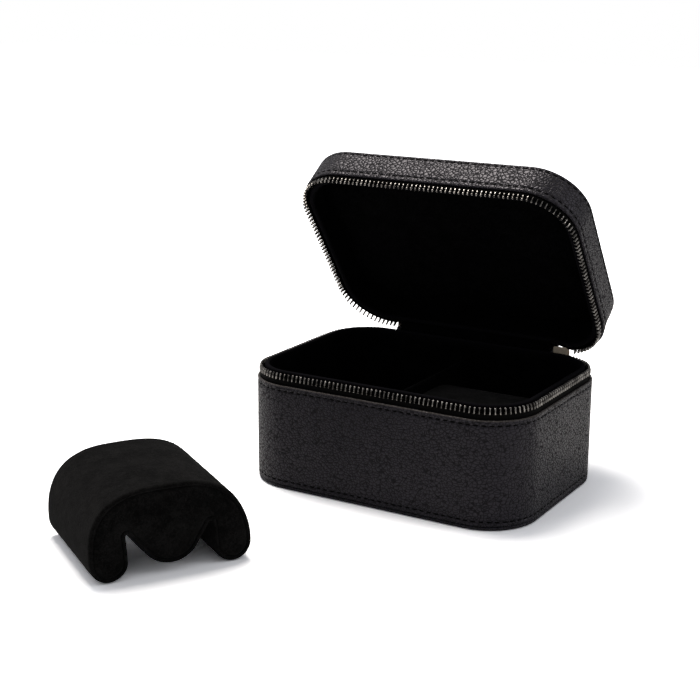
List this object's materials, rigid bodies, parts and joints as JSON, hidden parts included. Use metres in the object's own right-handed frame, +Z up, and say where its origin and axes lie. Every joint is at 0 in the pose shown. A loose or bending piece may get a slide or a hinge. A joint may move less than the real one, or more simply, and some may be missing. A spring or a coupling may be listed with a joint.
{
  "type": "watch travel case",
  "caption": "Zipped leather travel case with a hinged lid, suede lining, a divider and lift-out watch cushions, shown open with one cushion taken out.",
  "frame": {"origin": "centre of the case's underside, on the surface that it stands on", "axes": "+Z up, +Y towards the hinge at the back, +X towards the case's right end"},
  "size_m": [0.1933, 0.2819, 0.1686],
  "materials": {
    "leather": "satin",
    "pull_leather": "satin",
    "board": "matte",
    "lining": "matte",
    "cushion_suede": "matte",
    "foam": "matte",
    "zip_tape": "matte",
    "gunmetal_teeth": "polished",
    "gunmetal": "polished"
  },
  "bodies": {
    "base": {"base_leather_band": "leather", "base_bottom_panel": "leather", "base_board_wall": "board", "base_floor_board": "board", "base_lining_wall": "lining", "base_lining_floor": "lining", "divider_board": "board", "divider_cover": "lining", "base_zip_tape": "zip_tape", "base_zip_teeth": "gunmetal_teeth", "base_zip_stops": "gunmetal_teeth", "hinge_leather": "leather", "hinge_lining": "lining"},
    "lid": {"lid_leather_band": "leather", "lid_top_panel": "leather", "lid_board_wall": "board", "lid_top_board": "board", "lid_lining_wall": "lining", "lid_lining_pad": "lining", "lid_zip_tape": "zip_tape", "lid_zip_teeth": "gunmetal_teeth", "lid_zip_stop": "gunmetal_teeth"},
    "zip_slider": {"zip_slider": "gunmetal"},
    "zip_pull": {"zip_pull_tab": "pull_leather", "zip_pull_rivet": "gunmetal"},
    "seated_cushion": {"seated_cushion_core": "foam", "seated_cushion_wrap": "cushion_suede", "seated_cushion_end_left": "cushion_suede", "seated_cushion_end_right": "cushion_suede"},
    "loose_cushion": {"loose_cushion_core": "foam", "loose_cushion_wrap": "cushion_suede", "loose_cushion_end_near": "cushion_suede", "loose_cushion_end_far": "cushion_suede"}
  },
  "joints": [
    {"name": "lid_hinge", "type": "hinge", "parent": "base", "child": "lid", "pos_m": [0, 0.0595, 0.0605], "axis": [-1, 0, 0], "range_deg": [-54.5, 45.5], "deforming": ["hinge_leather", "hinge_lining"]},
    {"name": "zip_slide", "type": "slide", "parent": "base", "child": "zip_slider", "axis": [1, 0, 0], "range_m": [-0.0015, 0]},
    {"name": "pull_swing", "type": "hinge", "parent": "zip_slider", "child": "zip_pull", "pos_m": [0.0537, 0.0602, 0.0612], "axis": [-1, 0, 0], "range_deg": [-110, 0]},
    {"name": "seated_cushion_lift", "type": "slide", "parent": "base", "child": "seated_cushion", "axis": [0, 0, 1], "range_m": [0, 0.07]},
    {"name": "loose_cushion_lift", "type": "slide", "parent": "base", "child": "loose_cushion", "axis": [0, 0, 1], "range_m": [0, 0.1]}
  ]
}
